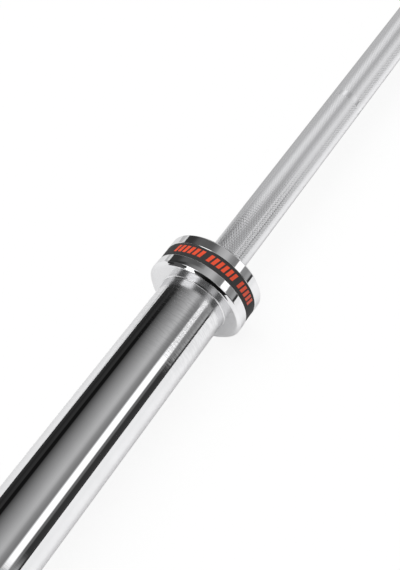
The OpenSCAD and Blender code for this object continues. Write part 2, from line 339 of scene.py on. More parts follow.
def mirror_chrome(finishes):
    """Polished chrome: faint turning marks, scuffs where the plates rub beside a collar, and some haze."""
    material, tree, shader, coordinates = start_finish("mirror_chrome")
    marks = streaks(tree, coordinates, along=1500.0, across=40.0)
    scratches = streaks(tree, coordinates, along=850.0, across=120.0, detail=2.0)
    clouds = streaks(tree, coordinates, along=40.0, across=40.0, detail=4.0)
    distance = calculate(tree, "ABSOLUTE", add(tree, "SeparateXYZ", {0: coordinates}).outputs[0])
    rubbed = beside_collar(tree, distance, *RUBBED)
    worn = beside_collar(tree, distance, *WORN)

    dull = product(tree, between(tree, scratches, *SCRATCHED_COLOUR), rubbed)
    bright = clouded(tree, clouds, finishes.mirror, darkest=0.96, noise_range=(0.35, 0.6))
    tree.links.new(blend(tree, dull, bright, (*finishes.scuffed, 1.0)), shader.inputs["Base Color"])

    deepest = finishes.scuff_roughness
    scuffs = total(
        tree, product(tree, between(tree, scratches, *SCRATCHED_POLISH, 0.0, deepest * 0.4), rubbed),
        product(tree, varied(tree, clouds, 1.0, 0.3), product(tree, worn, deepest)),
    )
    polish = finishes.mirror_roughness
    haze = between(tree, clouds, 0.4, 0.7, polish * 0.6, polish * 1.5)
    tree.links.new(total(tree, haze, scuffs), shader.inputs["Roughness"])

    make_metal(shader, edge_brightness=0.85)
    relief = total(tree, product(tree, marks, 0.02), product(tree, scratches, product(tree, rubbed, 0.7)))
    raise_from(tree, shader, relief, 0.00006)
    return material


def satin_chrome(finishes):
    """Satin chrome: a soft grain, a slightly uneven polish, and a painted shade that darkens the knurling
    towards the bottom of each groove.
    """
    material, tree, shader, coordinates = start_finish("satin_chrome")
    grain = streaks(tree, coordinates, along=2500.0, across=2500.0, detail=2.0)
    clouds = streaks(tree, coordinates, along=120.0, across=120.0, detail=4.0)
    clean = clouded(tree, clouds, finishes.satin, darkest=0.92)
    # Painted shade: the colour darkens towards the bottom of each knurl groove, by the groove attribute.
    groove_shade = between(tree, add(tree, "Attribute", attribute_name=GROOVE_LAYER).outputs["Fac"], 0.5, 1.0)
    tree.links.new(blend(tree, groove_shade, clean, (*finishes.groove_shade, 1.0)), shader.inputs["Base Color"])
    tree.links.new(varied(tree, clouds, finishes.satin_roughness, 0.15), shader.inputs["Roughness"])
    make_metal(shader, edge_brightness=0.2)
    raise_from(tree, shader, grain, 0.000004)
    return material


def moulded(name, tone, roughness, grain_depth):
    """Moulded rubber or print: a fine grain, soft wear and uneven gloss."""
    material, tree, shader, coordinates = start_finish(name)
    grain = streaks(tree, coordinates, along=2800.0, across=2800.0, detail=2.0)
    clouds = streaks(tree, coordinates, along=160.0, across=160.0, detail=4.0)
    tree.links.new(clouded(tree, clouds, tone, darkest=0.85), shader.inputs["Base Color"])
    tree.links.new(varied(tree, clouds, roughness, 0.15), shader.inputs["Roughness"])
    raise_from(tree, shader, grain, grain_depth)
    return material


def finish(context, name):
    """The named material, made the first time it is asked for."""
    if name in bpy.data.materials:
        return bpy.data.materials[name]
    finishes = context.scene.barbell_finishes
    makers = {
        "mirror_chrome": lambda: mirror_chrome(finishes),
        "satin_chrome": lambda: satin_chrome(finishes),
        "band_rubber": lambda: moulded(name, finishes.rubber, roughness=0.42, grain_depth=0.00001),
        "printed_bars": lambda: moulded(name, finishes.bars, roughness=0.5, grain_depth=0.000006),
        "seal_rubber": lambda: moulded(name, finishes.rubber, roughness=0.6, grain_depth=0.00001),
        "cap_aluminium": lambda: turned_metal(
            name, finishes.aluminium, roughness=0.24, lines=900.0, depth=0.000004
        ),
        "bronze": lambda: turned_metal(name, finishes.bronze, roughness=0.35, lines=1500.0, depth=0.000004),
        "bearing_steel": lambda: turned_metal(
            name, finishes.bearing, roughness=0.2, lines=2500.0, depth=0.000002
        ),
        "cage_steel": lambda: turned_metal(name, finishes.cage, roughness=0.45, lines=1200.0, depth=0.000004),
        "spring_steel": lambda: turned_metal(
            name, finishes.spring, roughness=0.4, lines=2000.0, depth=0.000003, darkest=0.7
        ),
    }
    return makers[name]()


# Shape helpers

def finished_piece(context, name, bm, material, smooth=True):
    """Turns a bmesh into an object of the scene, with its faces outwards."""
    bmesh.ops.remove_doubles(bm, verts=bm.verts, dist=MERGE_DISTANCE)
    bmesh.ops.recalc_face_normals(bm, faces=bm.faces)
    for face in bm.faces:
        face.smooth = smooth
    mesh = bpy.data.meshes.new(name)
    bm.to_mesh(mesh)
    bm.free()
    piece = bpy.data.objects.new(name, mesh)
    context.scene.collection.objects.link(piece)
    mesh.materials.append(finish(context, material))
    return piece


def turned(context, name, sign, outline, material, facets, to_axis=False):
    """A solid turned about X.

    An outline point is its place along the right-hand end, its radius and its rounding.
    """
    bm = bmesh.new()
    corners = [bm.verts.new((sign * x, 0.0, radius)) for x, radius, _ in outline]
    others = corners[1:] if to_axis else corners[1:] + corners[:1]
    for pair in zip(corners, others):
        bm.edges.new(pair)
    for corner, (_, _, rounding) in zip(corners, outline):
        if rounding:
            bmesh.ops.bevel(
                bm, geom=[corner], offset=rounding, segments=EDGE_SEGMENTS, profile=0.5, affect="VERTICES",
                material=-1,
            )
    bmesh.ops.spin(
        bm, geom=bm.verts[:] + bm.edges[:], cent=(0, 0, 0), axis=(1, 0, 0), angle=math.tau, steps=facets,
        use_merge=True,
    )
    piece = finished_piece(context, name, bm, material)
    piece.data.set_sharp_from_angle(angle=SHARP_ANGLE)
    even = piece.modifiers.new("Even shading", "WEIGHTED_NORMAL")
    even.keep_sharp = True
    return piece


def joins(piece, body, slot, *nodes):
    """Makes a piece ride on its body and stand for its nodes."""
    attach(piece, body)
    if nodes:
        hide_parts(*nodes)


# Shaft

def shaft_outline(sizes):
    """The whole shaft, from its left-hand end to its right-hand end, sunk where the knurling goes."""
    journal, core = sizes.journal_radius, sizes.knurl_root - sizes.knurl_wall / 2
    groove = journal - sizes.ring_groove
    centre = sizes.centre_knurl / 2
    half = [(0.0, core, 0.0), (centre, core, 0.0), (centre, sizes.radius, 0.0)]
    for start, end in knurled_lengths(sizes):
        half += [(start, sizes.radius, 0.0), (start, core, 0.0), (end, core, 0.0), (end, sizes.radius, 0.0)]
    half += [
        (COLLAR_START + sizes.shoulder, sizes.radius, sizes.shoulder_easing),
        (COLLAR_START + sizes.shoulder, journal, 0.0),
        (SHAFT_RING_START, journal, 0.0),
        (SHAFT_RING_START, groove, 0.0),
        (SHAFT_RING_END, groove, 0.0),
        (SHAFT_RING_END, journal, 0.0),
        (SHAFT_END, journal, sizes.end_easing),
        (SHAFT_END, 0.0, 0.0),
    ]
    return [(-x, radius, rounding) for x, radius, rounding in reversed(half[1:])] + half[1:]


def knurled_lengths(sizes):
    """Where the two knurled bands of the right-hand grip start and stop."""
    ring = sizes.ring_spacing / 2
    return (
        (COLLAR_START - sizes.knurl_length, ring),
        (ring + sizes.ring_width, COLLAR_START - sizes.knurl_gap),
    )


def knurled_band(context, name, start, end, sizes):
    """A closed band of raised diamonds between two places on the shaft."""
    bm = bmesh.new()
    line = bm.edges.new([bm.verts.new((x, 0.0, sizes.knurl_root)) for x in (start, end)])
    rows = round((end - start) / sizes.diamond_length)
    bmesh.ops.subdivide_edges(bm, edges=[line], cuts=rows - 1)
    bmesh.ops.spin(
        bm, geom=bm.verts[:] + bm.edges[:], cent=(0, 0, 0), axis=(1, 0, 0), angle=math.tau,
        steps=sizes.diamonds_around, use_merge=True,
    )
    bmesh.ops.remove_doubles(bm, verts=bm.verts, dist=MERGE_DISTANCE)
    bmesh.ops.recalc_face_normals(bm, faces=bm.faces)
    grid = bm.edges[:]
    bmesh.ops.poke(bm, faces=bm.faces[:], offset=0.0)
    bmesh.ops.dissolve_edges(bm, edges=[edge for edge in grid if len(edge.link_faces) == 2])
    diamonds = [face for face in bm.faces if len(face.verts) == 4]
    bmesh.ops.poke(bm, faces=diamonds, offset=sizes.knurl_height)
    groove = bm.verts.layers.float.new(GROOVE_LAYER)
    for vert in bm.verts:
        height = math.hypot(vert.co.y, vert.co.z) - sizes.knurl_root
        vert[groove] = min(max(1.0 - height / sizes.knurl_height, 0.0), 1.0)
    rims = [edge for edge in bm.edges if edge.is_boundary]
    skirt = bmesh.ops.extrude_edge_only(bm, edges=rims)["geom"]
    inner = [vert for vert in skirt if isinstance(vert, bmesh.types.BMVert)]
    shrink = (sizes.knurl_root - sizes.knurl_wall) / sizes.knurl_root
    bmesh.ops.scale(bm, vec=(1.0, shrink, shrink), verts=inner)
    bmesh.ops.bridge_loops(bm, edges=[edge for edge in bm.edges if edge.is_boundary])
    return finished_piece(context, name, bm, "satin_chrome", smooth=False)


class BARBELL_OT_shaft(bpy.types.Operator):
    """Makes the turned shaft and its knurled bands"""

    bl_idname = "barbell.shaft"
    bl_label = "Shaft"

    def execute(self, context):
        sizes = context.scene.barbell_shaft
        outline = shaft_outline(sizes)
        core = turned(context, "turned_shaft", 1, outline, "satin_chrome", SHAFT_FACETS, to_axis=True)
        joins(core, "shaft", "satin_chrome", "shaft")
        bands = {"centre_knurling": (-sizes.centre_knurl / 2, sizes.centre_knurl / 2)}
        for side, sign in SIDES:
            for place, ends in zip(("inner", "outer"), knurled_lengths(sizes)):
                bands[f"{side}_{place}_knurling"] = sorted(sign * end for end in ends)
        for name, (start, end) in bands.items():
            joins(knurled_band(context, name, start, end, sizes), "shaft", "satin_chrome")
        return {"FINISHED"}


# Sleeves and collars

def sleeve_outline(sizes):
    """The sleeve's section, from the spigot in the collar to the mouth and back along the bore.

    A rounding takes a little less than the root fillet, so that the shoulder keeps a flat rim.
    """
    easing = sizes.edge_easing
    return [
        (TUBE_START, BEARING_RADIUS, 0.0),
        (TUBE_START, sizes.spigot_radius, easing),
        (COLLAR_END - sizes.shoulder, sizes.spigot_radius, 0.0),
        (COLLAR_END - sizes.shoulder, SHOULDER_RADIUS, 0.0),
        (COLLAR_END, SHOULDER_RADIUS, easing / 4),
        (COLLAR_END, sizes.radius, sizes.root_fillet * 0.9),
        (TUBE_END - sizes.end_chamfer, sizes.radius, easing),
        (TUBE_END, sizes.radius - sizes.end_chamfer, easing),
        (TUBE_END, CAP_RADIUS, easing),
        (MOUTH_RING_END, CAP_RADIUS, 0.0),
        (MOUTH_RING_END, MOUTH_RING_RADIUS, 0.0),
        (MOUTH_RING_START, MOUTH_RING_RADIUS, 0.0),
        (MOUTH_RING_START, CAP_RADIUS, 0.0),
        (CAP_START, CAP_RADIUS, 0.0),
        (CAP_START, sizes.pocket_radius, 0.0),
        (OUTER_CUP_END, sizes.pocket_radius, 0.0),
        (OUTER_CUP_END, BEARING_RADIUS, 0.0),
        (OUTER_CUP_START, BEARING_RADIUS, 0.0),
        (OUTER_CUP_START, sizes.bore_radius, 0.0),
        (INNER_CUP_END, sizes.bore_radius, 0.0),
        (INNER_CUP_END, BEARING_RADIUS, 0.0),
    ]


def collar_outline(sizes):
    """The collar's section, from the seal's bore round both flanges to the counterbore for the sleeve."""
    easing = sizes.edge_easing
    chamfer = sizes.collar_chamfer
    flange = sizes.flange_chamfer
    groove_radius = BAND_RADIUS - sizes.groove_depth
    bevel_start = COLLAR_END - sizes.lip_length - sizes.bevel_length
    lip_radius = COLLAR_RADIUS - sizes.bevel_height
    return [
        (COLLAR_START, sizes.seal_radius, easing),
        (COLLAR_START, COLLAR_RADIUS - chamfer, easing),
        (COLLAR_START + chamfer, COLLAR_RADIUS, easing),
        (BAND_START - flange, COLLAR_RADIUS, easing / 2),
        (BAND_START, COLLAR_RADIUS - flange, easing / 4),
        (BAND_START, groove_radius, 0.0),
        (BAND_END, groove_radius, 0.0),
        (BAND_END, COLLAR_RADIUS - flange, easing / 4),
        (BAND_END + flange, COLLAR_RADIUS, easing / 2),
        (bevel_start, COLLAR_RADIUS, easing * 1.6),
        (COLLAR_END - sizes.lip_length, lip_radius, easing * 2),
        (COLLAR_END, lip_radius - sizes.lip_height, easing * 2),
        (COLLAR_END, SHOULDER_RADIUS, easing / 4),
        (COLLAR_END - sizes.shoulder, SHOULDER_RADIUS, 0.0),
        (COLLAR_END - sizes.shoulder, sizes.spigot_radius, 0.0),
        (TUBE_START, sizes.spigot_radius, 0.0),
        (TUBE_START, sizes.seal_radius, 0.0),
    ]


class BARBELL_OT_sleeves(bpy.types.Operator):
    """Makes the polished sleeves"""

    bl_idname = "barbell.sleeves"
    bl_label = "Sleeves"

    def execute(self, context):
        sizes = context.scene.barbell_sleeve
        for side, sign in SIDES:
            name = f"{side}_polished_sleeve"
            tube = turned(context, name, sign, sleeve_outline(sizes), "mirror_chrome", SLEEVE_FACETS)
            joins(tube, f"{side}_sleeve", "polished_chrome", f"{side}_sleeve")
        return {"FINISHED"}


class BARBELL_OT_collars(bpy.types.Operator):
    """Makes the polished collars"""

    bl_idname = "barbell.collars"
    bl_label = "Collars"

    def execute(self, context):
        sizes = context.scene.barbell_sleeve
        for side, sign in SIDES:
            name = f"{side}_flanged_collar"
            ring = turned(context, name, sign, collar_outline(sizes), "mirror_chrome", SLEEVE_FACETS)
            joins(ring, f"{side}_sleeve", "polished_chrome", f"{side}_collar")
        return {"FINISHED"}


# Bands

def bar_places(sizes):
    """The angles of the bars in one half turn."""
    angle = sizes.first_angle
    for count in sizes.groups:
        for _ in range(count):
            yield angle
            angle += sizes.pitch
        angle += sizes.gap


def printed_bars(context, name, sign, sizes):
    """Slanted bars in three groups, printed twice round a band."""
    bm = bmesh.new()
    middle = COLLAR_START + sizes.middle
    low, high = BAND_RADIUS - sizes.rise, BAND_RADIUS + sizes.rise
    lean = sizes.slant / 2 / BAND_RADIUS
    width = sizes.width / BAND_RADIUS
    ends = []
    for way in (-1, 1):
        turn = Matrix.Rotation(sign * (way * lean - width / 2), 3, "X")
        ends.append(bm.verts.new(turn @ Vector((sign * (middle + way * sizes.height / 2), 0.0, low))))
    line = bm.edges.new(ends)
    bmesh.ops.spin(bm, geom=[*ends, line], cent=(0, 0, 0), axis=(sign, 0, 0), angle=width, steps=PRINT_FACETS)
    bmesh.ops.remove_doubles(bm, verts=bm.verts, dist=MERGE_DISTANCE)
    bottom = bm.verts[:] + bm.edges[:] + bm.faces[:]
    raised = bmesh.ops.extrude_face_region(bm, geom=bottom, use_keep_orig=True)["geom"]
    top = [vert for vert in raised if isinstance(vert, bmesh.types.BMVert)]
    bmesh.ops.scale(bm, vec=(1.0, high / low, high / low), verts=top)
    bmesh.ops.recalc_face_normals(bm, faces=bm.faces)
    first = bm.verts[:] + bm.edges[:] + bm.faces[:]
    for half in (0.0, math.pi):
        for angle in bar_places(sizes):
            copy = bmesh.ops.duplicate(bm, geom=first)["geom"]
            verts = [vert for vert in copy if isinstance(vert, bmesh.types.BMVert)]
            turn = Matrix.Rotation(-sign * (angle + half), 3, "X")
            bmesh.ops.rotate(bm, cent=(0, 0, 0), matrix=turn, verts=verts)
    spare = [vert for vert in first if isinstance(vert, bmesh.types.BMVert)]
    bmesh.ops.delete(bm, geom=spare, context="VERTS")
    return finished_piece(context, name, bm, "printed_bars", smooth=False)


class BARBELL_OT_bands(bpy.types.Operator):
    """Makes the rubber bands and the bars printed on them"""

    bl_idname = "barbell.bands"
    bl_label = "Bands"

    def execute(self, context):
        sizes = context.scene.barbell_sleeve
        easing = sizes.band_easing
        floor_radius = BAND_RADIUS - sizes.groove_depth
        outline = [
            (BAND_START, floor_radius, 0.0), (BAND_START, BAND_RADIUS, easing),
            (BAND_END, BAND_RADIUS, easing), (BAND_END, floor_radius, 0.0),
        ]
        for side, sign in SIDES:
            band = turned(context, f"{side}_rubber_band", sign, outline, "band_rubber", BAND_FACETS)
            joins(band, f"{side}_sleeve", "band_rubber", f"{side}_collar_band")
            bars = printed_bars(context, f"{side}_printed_bars", sign, context.scene.barbell_print)
            joins(bars, f"{side}_sleeve", "band_rubber")
        return {"FINISHED"}


# End caps and the pieces kept from the frame

class BARBELL_OT_end_caps(bpy.types.Operator):
    """Makes the turned end caps"""

    bl_idname = "barbell.end_caps"
    bl_label = "End caps"

    def execute(self, context):
        sizes = context.scene.barbell_sleeve
        easing = sizes.edge_easing
        dish = CAP_RADIUS - sizes.cap_rim
        floor = CAP_END - sizes.cap_dish
        outline = [
            (CAP_START, 0.0, 0.0), (CAP_START, CAP_RADIUS, easing), (CAP_END, CAP_RADIUS, easing),
            (CAP_END, dish, easing), (floor, dish - sizes.cap_dish, easing),
            (floor, sizes.cap_boss + sizes.cap_dish, easing), (CAP_END, sizes.cap_boss, easing),
            (CAP_END, 0.0, 0.0),
        ]
        for side, sign in SIDES:
            name = f"{side}_turned_cap"
            cap = turned(context, name, sign, outline, "cap_aluminium", SHAFT_FACETS, to_axis=True)
            joins(cap, f"{side}_sleeve", "cap_aluminium", f"{side}_end_cap")
        return {"FINISHED"}


BEARING_FINISHES = {
    "dust_seal": "seal_rubber",
    "inner_thrust_washer": "bronze",
    "bush": "bronze",
    "inner_bearing_cup": "bearing_steel",
    "inner_needle_cage": "cage_steel",
    "inner_needle_rollers": "bearing_steel",
    "outer_bearing_cup": "bearing_steel",
    "outer_needle_cage": "cage_steel",
    "outer_needle_rollers": "bearing_steel",
    "outer_thrust_washer": "bronze",
    "shaft_ring": "spring_steel",
    "mouth_ring": "spring_steel",
}


class BARBELL_OT_bearings(bpy.types.Operator):
    """Gives the seals, bearings and retaining rings of the frame their finishes"""

    bl_idname = "barbell.bearings"
    bl_label = "Bearings"

    def execute(self, context):
        for side, _ in SIDES:
            for part, material in BEARING_FINISHES.items():
                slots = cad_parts[f"{side}_{part}"].data.materials
                slots.clear()
                slots.append(finish(context, material))
        return {"FINISHED"}


# Stage

# The camera, fitted to the edges and rims of the sleeve, collar and shaft
CAMERA_PLACE = (-0.95984, -0.18213, 0.51500)
CAMERA_RIGHT = (0.5396, -0.8419, 0.0)
CAMERA_UP = (0.69952, 0.44835, 0.55646)
CAMERA_LENS = 55.45

# A soft sun, and the brightness of the white surroundings as a light
LAMP_ENERGY = 2.0
LAMP_WIDTH = math.radians(60)
LAMP_DIRECTION = (-0.10, 0.28, 0.95)
ROOM_LEVEL = 0.4

# The floor touches the collars, and the cards on it lie a little higher. Its level is what it sends to the
# camera by itself, and its whitening the share of plain white in what the camera sees.
FLOOR_HEIGHT = -COLLAR_RADIUS
FLOOR_HALF_WIDTH = 30.0
FLOOR_COLOUR = (0.80, 0.80, 0.80, 1.0)
FLOOR_LEVEL = 0.22
FLOOR_WHITENING = 0.87
CARD_LIFT = 0.0005

# The tent's light fades to a share of itself between two distances from the bar's middle, along the bar
TENT_RADIUS = 3.0
TENT_HALF_LENGTH = 6.0
TENT_FACETS = 72
TENT_FADE = (4.2, 5.2)
TENT_END_SHARE = 0.05

# Brightness of the tent's cloth by the angle from straight up towards -Y, in degrees: over the bar, past its
# left-hand end and past its right-hand end
CLOTH_MIDDLE = (
    (-90, 0.03), (-50, 0.04), (-34, 0.16), (-8, 0.36), (4, 0.47), (13, 0.54), (19, 0.50), (27, 0.32),
    (36, 0.24), (62, 0.29), (72, 0.28), (80, 0.40), (90, 0.30),
)
CLOTH_LEFT = (
    (-90, 0.08), (-55, 0.12), (-44, 0.5), (-30, 0.7), (-14, 0.4), (0, 0.1), (24, 0.08), (34, 0.16), (70, 0.1),
    (90, 0.16),
)
CLOTH_RIGHT = (
    (-90, 0.70), (-75, 0.76), (-62, 0.64), (-52, 0.78), (-42, 1.12), (-34, 1.32), (-26, 1.32), (-18, 1.05),
    (-8, 0.68), (4, 0.55), (14, 0.58), (24, 0.80), (34, 1.03), (46, 1.18), (58, 1.18), (66, 1.0), (76, 0.7),
    (85, 0.52), (90, 0.52),
)

# Where the cloth past each end starts and is whole, along the bar, and where the right-hand cloth also
# reaches in, along the bar and by the angle
PAST_END = (1.18, 1.28)
REACH_IN = (0.98, 1.06)
REACH_IN_ANGLES = (-14.0, -6.0)

# Brightness of the arched card that only the left-hand collar mirrors, by the same angle
ARCH_LEVELS = (
    (-83.5, 0.045), (-65, 0.045), (-59, 0.065), (-53, 0.105), (-45, 0.122), (-22, 0.115), (-16, 0.135),
    (-10, 0.21), (-4, 0.32),
)
ARCH_RADIUS = 0.25
ARCH_PLACE = (-0.562, -0.500)
ARCH_FACETS = 24

# A soft box past the left-hand end, as seen from the sleeve's root: its direction and distance, and its
# corners, to the side and above the bar
SOFT_BOX_DIRECTION = (-0.788, 0.616, 0.0)
SOFT_BOX_DISTANCE = 1.5
SOFT_BOX_CORNERS = (
    (0.24, 0.30), (0.38, 0.30), (0.52, 0.60), (0.50, 2.6), (0.20, 2.6), (-0.50, 1.25), (-0.50, 1.05),
    (0.05, 0.65),
)
SOFT_BOX_LEVEL = 1.7

# A black card that stands behind the left-hand sleeve
BLACK_CARD_DISTANCE = 0.40
BLACK_CARD_ENDS = (-2.6, -0.93)
BLACK_CARD_TOP = 0.04
BLACK_CARD_LEVEL = 0.03

# Cards that lie on the floor behind the bar and show only in the chrome, a grey one as painted shade and pale
# ones as painted light on the floor: ends along the bar, near and far edge, and level
FLOOR_CARDS = {
    "grey_card": (-0.56, 0.56, 0.018, 0.5, 0.62),
    "left_pale_card": (-0.66, -0.56, 0.055, 0.5, 0.95),
    "right_pale_card": (0.66, 0.56, 0.055, 0.5, 0.95),
}

# The floor's glow in the chrome, by the distance from the bar towards +Y, and where it changes along the bar:
# painted shadow close under the bar and painted light beside it
PAINTED_SHADING_UNDER_SHAFT = (
    (-0.3, 0.2), (-0.1, 0.35), (-0.07, 0.45), (-0.05, 0.6), (-0.038, 0.62), (-0.03, 0.35), (-0.022, 0.05),
    (-0.015, 0.0), (0.1, 0.0),
)
PAINTED_SHADING_UNDER_SLEEVES = (
    (-0.15, 0.24), (-0.085, 0.3), (-0.06, 0.3), (-0.045, 0.24), (-0.015, 0.26), (0.0, 0.3), (0.04, 0.15),
    (0.15, 0.2),
)
GLOW_CHANGE = (0.58, 0.63)

# Cards and panels laid on the cloth in this order: angles from and to, softness, places along the bar from
# and to, softness, and brightness
PANELS = (
    (-95, -65, 2.0, -1.22, 0.95, 0.1, 0.034),
    (-95, -89, 1.0, 0.99, 1.6, 0.04, 0.9),
    (-80, -71, 1.5, -0.8, 0.8, 0.2, 0.024),
    (-62, -26, 2.5, -1.22, -0.98, 0.16, 0.12),
    (-29, -17, 3.0, -1.22, -0.98, 0.1, 0.13),
    (-61, -48, 3.0, -0.76, 0.76, 0.34, 0.008),
    (43, 61.5, 5.0, -0.57, 0.57, 0.12, 1.4),
    (44, 60, 3.0, 0.57, 0.97, 0.04, 0.3),
    (44, 60, 3.0, -0.97, -0.57, 0.04, 0.3),
    *((44, 60, 3.0, 0.59 + slat, 0.63 + slat, 0.01, 1.6) for slat in (0.0, 0.08, 0.16, 0.24, 0.32)),
    (44, 60, 2.0, 0.95, 1.22, 0.03, 1.35),
    (44, 60, 2.0, -1.22, -0.95, 0.03, 1.35),
    (62, 88, 1.5, -0.50, 0.50, 0.08, 0.16),
    (70, 88, 4.0, -0.50, 0.50, 0.08, 0.04),
    (84.5, 95, 1.5, -1.22, 1.22, 0.1, 0.05),
    (40, 60, 10.0, -4.5, -1.22, 0.2, 0.65),
    (-25, 60, 6.0, -1.7, -1.25, 0.1, 1.0),
)


def level_ramp(tree, value, stops):
    """Grey levels along a value, from stops of a value and a level."""
    low, high = stops[0][0], stops[-1][0]
    ramp = add(tree, "ValToRGB", {0: between(tree, value, low, high)})
    elements = ramp.color_ramp.elements
    while len(elements) < len(stops):
        elements.new(0.5)
    for element, (place, level) in zip(elements, stops):
        element.position = (place - low) / (high - low)
        element.color = (level, level, level, 1.0)
    return ramp.outputs[0]


def soft_window(tree, value, low, high, softness):
    """One between two values, nought outside them, with soft edges."""
    off_centre = calculate(tree, "ABSOLUTE", calculate(tree, "SUBTRACT", value, (low + high) / 2))
    half = (high - low) / 2
    return between(tree, off_centre, half - softness / 2, half + softness / 2, 1.0, 0.0)


def start_stage_material(name):
    """A new material with an empty node tree, and the three parts of a place on its piece."""
    material = bpy.data.materials.new(name)
    material.use_nodes = True
    tree = material.node_tree
    tree.nodes.clear()
    place = add(tree, "SeparateXYZ", {0: tree.nodes.new("ShaderNodeTexCoord").outputs["Object"]})
    return material, tree, place.outputs


def show(tree, shader):
    """Makes a shader the surface of its material."""
    tree.links.new(shader.outputs[0], tree.nodes.new("ShaderNodeOutputMaterial").inputs[0])


def angle_from_above(tree, place):
    """The angle round the bar from straight up towards -Y, in degrees."""
    return calculate(tree, "DEGREES", calculate(tree, "ARCTAN2", product(tree, place[1], -1.0), place[2]))


def tent_light():
    """The tent's own light: its cloth, and the black cards, grey cards and bright strips laid on it."""
    material, tree, place = start_stage_material("tent_light")
    along = place[0]
    angle = angle_from_above(tree, place)
    level = level_ramp(tree, angle, CLOTH_MIDDLE)
    past_left = between(tree, along, -PAST_END[0], -PAST_END[1])
    level = blend(tree, past_left, level, level_ramp(tree, angle, CLOTH_LEFT))
    lower = between(tree, angle, *REACH_IN_ANGLES, 1.0, 0.0)
    reach_in = product(tree, between(tree, along, *REACH_IN), lower)
    past_right = calculate(tree, "MAXIMUM", between(tree, along, *PAST_END), reach_in)
    level = blend(tree, past_right, level, level_ramp(tree, angle, CLOTH_RIGHT))
    for first, last, edge, start, end, fade, brightness in PANELS:
        seen = product(
            tree, soft_window(tree, angle, first, last, edge), soft_window(tree, along, start, end, fade)
        )
        level = blend(tree, seen, level, (brightness, brightness, brightness, 1.0))
    ends = between(tree, calculate(tree, "ABSOLUTE", along), *TENT_FADE, 1.0, TENT_END_SHARE)
    show(tree, add(tree, "Emission", {"Color": level, "Strength": ends}))
    return material


def arch_light():
    """The arched card's own light."""
    material, tree, place = start_stage_material("arch_light")
    level = level_ramp(tree, angle_from_above(tree, place), ARCH_LEVELS)
    show(tree, add(tree, "Emission", {"Color": level, "Strength": 1.0}))
    return material


def plain_light(name, level):
    """A material that gives even light."""
    material, tree, _ = start_stage_material(name)
    show(tree, add(tree, "Emission", {"Strength": level}))
    return material


def seen_directly(tree):
    """One for rays from the camera and for rays that metal or glass sends on, nought for the rest."""
    path = tree.nodes.new("ShaderNodeLightPath").outputs
    either = calculate(tree, "MAXIMUM", path["Is Camera Ray"], path["Is Glossy Ray"])
    return calculate(tree, "MAXIMUM", either, path["Is Transmission Ray"])


def floor_paint():
    """Pale paint that reads as white to the camera and in the chrome, and still takes a shadow. In the chrome
    its glow is a painted shadow close under the bar and painted light beside it.
    """
    material, tree, place = start_stage_material("floor_paint")
    path = tree.nodes.new("ShaderNodeLightPath").outputs
    under_shaft = between(tree, calculate(tree, "ABSOLUTE", place[0]), *GLOW_CHANGE, 1.0, 0.0)
    # Painted shadow and painted light: in the chrome the floor's glow is darker close under the bar and
    # brighter beside it.
    uneven = blend(
        tree, under_shaft, level_ramp(tree, place[1], PAINTED_SHADING_UNDER_SLEEVES),
        level_ramp(tree, place[1], PAINTED_SHADING_UNDER_SHAFT),
    )
    level = blend(tree, path["Is Glossy Ray"], (FLOOR_LEVEL, FLOOR_LEVEL, FLOOR_LEVEL, 1.0), uneven)
    paint = add(tree, "BsdfDiffuse", {"Color": FLOOR_COLOUR})
    glow = add(tree, "Emission", {"Strength": product(tree, seen_directly(tree), level)})
    both = add(tree, "AddShader", {0: paint.outputs[0], 1: glow.outputs[0]})
    white = add(tree, "Emission", {"Strength": 1.0})
    whitening = product(tree, path["Is Camera Ray"], FLOOR_WHITENING)
    show(tree, add(tree, "MixShader", {0: whitening, 1: both.outputs[0], 2: white.outputs[0]}))
    return material


def stage_piece(context, name, bm, material):
    """A piece of the stage."""
    mesh = bpy.data.meshes.new(name)
    bm.to_mesh(mesh)
    bm.free()
    mesh.materials.append(material)
    piece = bpy.data.objects.new(name, mesh)
    context.scene.collection.objects.link(piece)
    piece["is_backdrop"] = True
    return piece


def hide_from_camera(piece):
    """Leaves a piece of the stage only in reflections."""
    piece.visible_camera = piece.visible_diffuse = piece.visible_shadow = piece.visible_transmission = False


def flat_card(context, name, corners, level):
    """A flat card that only shows in the chrome."""
    bm = bmesh.new()
    bmesh.ops.contextual_create(bm, geom=[bm.verts.new(corner) for corner in corners])
    hide_from_camera(stage_piece(context, name, bm, plain_light(name, level)))


def arch(radius, ends, first, last, facets):
    """A strip of a cylinder round the bar, between two places along it and two angles from straight up."""
    bm = bmesh.new()
    start = Matrix.Rotation(first, 3, "X")
    corners = [bm.verts.new(start @ Vector((x, 0.0, radius))) for x in ends]
    line = bm.edges.new(corners)
    axis = (math.copysign(1, last - first), 0, 0)
    bmesh.ops.spin(
        bm, geom=[*corners, line], cent=(0, 0, 0), axis=axis, angle=abs(last - first), steps=facets
    )
    return bm


def add_floor(context):
    """The floor under the bar."""
    bm = bmesh.new()
    bmesh.ops.create_grid(bm, x_segments=1, y_segments=1, size=FLOOR_HALF_WIDTH)
    bmesh.ops.translate(bm, vec=(0.0, 0.0, FLOOR_HEIGHT), verts=bm.verts)
    stage_piece(context, "floor", bm, floor_paint())


def add_tent(context):
    """The light tent over the bar, which stands on the floor and is closed at both ends."""
    edge = math.pi / 2 + math.asin(COLLAR_RADIUS / TENT_RADIUS)
    bm = arch(TENT_RADIUS, (-TENT_HALF_LENGTH, TENT_HALF_LENGTH), edge, -edge, TENT_FACETS)
    for way in (-1, 1):
        bmesh.ops.contextual_create(bm, geom=[vert for vert in bm.verts if vert.co.x * way > 0])
    hide_from_camera(stage_piece(context, "light_tent", bm, tent_light()))


